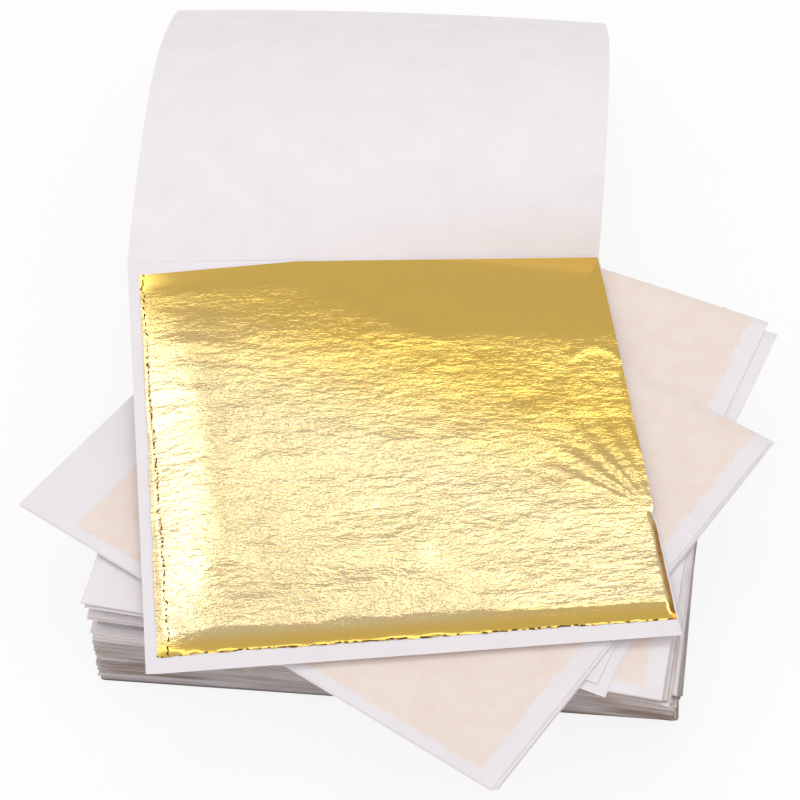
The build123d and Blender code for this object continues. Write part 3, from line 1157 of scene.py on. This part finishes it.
def roll_down(x, y):
    """How much of its stand-off the leaf keeps: it slopes down to the page along its edges."""
    from_left, from_right = x + leaf_width / 2, leaf_width / 2 - x
    from_front, from_back = y + leaf_depth / 2, leaf_depth / 2 - y
    band = (3.9 - 1.5 * eased((x + 6 * mm) / (34 * mm))) * mm
    band = band + 0.35 * mm * soft_waves(x + 1, y * 0, 5 * mm, 5 * mm, 81)
    long_slope = 0.34 * eased((14 * mm - x) / (16 * mm))
    front = np.clip((from_front - front_rim) / band, 0, 1) * (1 - long_slope)
    front = front + long_slope * eased((from_front - band) / (13 * mm))
    lip = (0.5 + 1.3 * eased(from_back / leaf_depth)) * mm
    lip = lip + 0.2 * mm * soft_waves(x * 0, y + 1, 4 * mm, 4 * mm, 82)
    slope = np.clip((from_left - lip) / left_slope_width, 0, 1)
    left = 0.16 * eased(from_left / lip * 2 - 1) + 0.84 * (2 * slope - slope ** 2)
    low_right = eased((-17 * mm - y) / (3 * mm))
    right = 1 - (1 - eased(from_right / right_roll_width)) * (0.12 + 0.88 * low_right)
    back = 1 - (1 - np.clip(from_back / back_slope_width, 0, 1)) ** 1.25
    return front * left * right * back


# %% Shape the leaf
edge_reach = 1.2 * mm
notch_depth = 0.45 * mm
fold_side = 14 * mm
gold = flat_grid("open_gold_leaf_sheet", leaf_width, leaf_depth, 206, 196)
draw_flat_map(gold)
flat_points = points_of(gold)
x, y = flat_points[:, 0], flat_points[:, 1]
in_front_band = eased(1.25 - (y + leaf_depth / 2) / (3.4 * mm))
crinkle = (1 - calm(x, y)) * (1 - 0.85 * in_front_band)
# The crinkle mask, and how much painted highlight each point gets.
for name, values in (("crinkle", crinkle), ("pale", painted_highlight_share(x, y))):
    layer = gold.data.attributes.new(name, "FLOAT", "POINT")
    layer.data.foreach_set("value", values.astype(np.float32))
nearest_side = np.minimum(leaf_width / 2 - abs(x), leaf_depth / 2 - abs(y))
at_edge = eased(1 - nearest_side / edge_reach)
at_cut = at_edge * eased((12 * mm - y) / (8 * mm)) * eased((38 * mm - x) / (2 * mm))
torn_x = 0.16 * sheet_waves(x, y, 1.1, 1.1, 91) + 0.20 * sheet_waves(x, y, 6, 6, 92)
torn_y = 0.13 * sheet_waves(x, y, 1.1, 1.1, 93) + 0.12 * sheet_waves(x, y, 7, 7, 94)
notch = ridge(y + 18.5 * mm, 1.0 * mm) * eased((x - 39 * mm) / (2.5 * mm))
ragged_x = (0.25 * at_edge + 0.75 * at_cut) * torn_x * mm - notch_depth * notch
towards_fold = (2.7 * np.clip((x + leaf_width / 2) / (28 * mm), 0, 1) - 0.5) * mm
towards_fold = towards_fold * eased((y - fold_side) / (leaf_depth / 2 - fold_side))
ragged_y = at_cut * torn_y * mm * (y < 0) + towards_fold
bridge = bridge_height * 4 * (y / leaf_depth + 0.5) * (0.5 - y / leaf_depth) * (0.5 - x / leaf_width)
bridge = bridge * eased(0.35 + (x + leaf_width / 2) / (22 * mm))
lift = leaf_clearance + roll_down(x, y) * (leaf_stand_off + bridge + crumples(x, y) + folds(x, y))
lift += at_cut * 0.04 * mm * (1 + sheet_waves(x, y, 1.4, 1.4, 95))
page_x, page_y = x + ragged_x + leaf_right, y + ragged_y + leaf_back
flat_points[:, 0], flat_points[:, 1] = turned(page_x, page_y, page_centre, page_turn)
flat_points[:, 2] = page_height(page_x, page_y) + lip_height * 0.2 + lift
move_points(gold, flat_points)
thicken(gold, leaf_thickness)
print("gold leaf with", len(gold.data.polygons), "faces")

# %% Finish the leaf
def open_gold(name):
    """The open leaf: crumpled foil with a painted highlight towards the front, broken painted shadow along
    its left and front edges, and painted brown shade along its lower right edge.
    """
    material, tree = empty_material(name)
    flat_map = add_node(tree, "ShaderNodeUVMap", uv_map="flat").outputs["UV"]
    flat = parts_of(tree, flat_map)
    half_width, half_depth = leaf_width / 2 / map_size, leaf_depth / 2 / map_size
    from_left = plus(tree, flat["X"], half_width)
    from_front = plus(tree, flat["Y"], half_depth)
    from_right = maths(tree, "SUBTRACT", half_width, flat["X"])
    metal = place_group(tree, foil, {"Flat": flat_map, "Grain": 0.32 * on_map, "Crease": 1.25 * on_map})
    crinkle = add_node(tree, "ShaderNodeAttribute", attribute_name="crinkle").outputs["Fac"]
    pale = add_node(tree, "ShaderNodeAttribute", attribute_name="pale").outputs["Fac"]
    brighter = times(tree, ramp(tree, metal["Cloud"], 0.35, 0.65), crinkle)
    colour = mixed(tree, brighter, gold_deep, gold_bright)
    # Painted highlight, broken by the grain, where the leaf mirrors the bright box.
    grainy = ramp(tree, metal["Grain Tone"], 0.38, 0.62, 0.50, 1.10)
    highlight_in_grain = maths(tree, "MULTIPLY", pale, grainy, clamp=True)
    colour = mixed(tree, highlight_in_grain, colour, gold_painted_highlight)
    # Broken painted shadow along the left and front edges, and painted brown shade along the lower right
    # edge.
    towards_front = ramp(tree, flat["Y"], half_depth, -half_depth)
    lip_inset = plus(tree, times(tree, towards_front, 1.3 * on_map), 0.45 * on_map)
    left_line, front_line, right_line = [
        place_group(tree, broken, {
            "Flat": flat_map, "Distance": distance, "Inset": inset, "Width": width * on_map,
            "Wander": wander * on_map, "Cover": cover})["Mask"]
        for distance, inset, width, wander, cover in (
            (from_left, lip_inset, 0.26, 2.2, 0.52), (from_front, 0.12 * on_map, 0.30, 0.6, 0.50),
            (from_right, 0.40 * on_map, 0.62, 0.6, 0.72))]
    # The painted brown shade of the curled lip keeps to the lower right.
    lower_right = ramp(tree, flat["Y"], -17 * on_map, -22 * on_map)
    shadow_lines = maths(tree, "MAXIMUM", left_line, front_line)
    colour = mixed(tree, times(tree, right_line, lower_right), colour, gold_lip_shade)
    colour = mixed(tree, shadow_lines, colour, gold_shadow_line)
    smooth = ramp(tree, metal["Grain Tone"], 0.3, 0.7, 0.11, 0.19)
    roughness = plus(tree, smooth, times(tree, shadow_lines, 0.3))
    relief = times(tree, metal["Height"], ramp(tree, crinkle, 0.0, 1.0, 0.04, 1.0))
    bump = add_node(tree, "ShaderNodeBump", {"Height": relief, "Strength": 1.0, "Distance": 0.075 * mm})
    gold_shader(tree, colour, roughness, bump.outputs["Normal"])
    return material


dressed(gold, open_gold("open_gold"), "open_leaf", "open_gold_leaf")
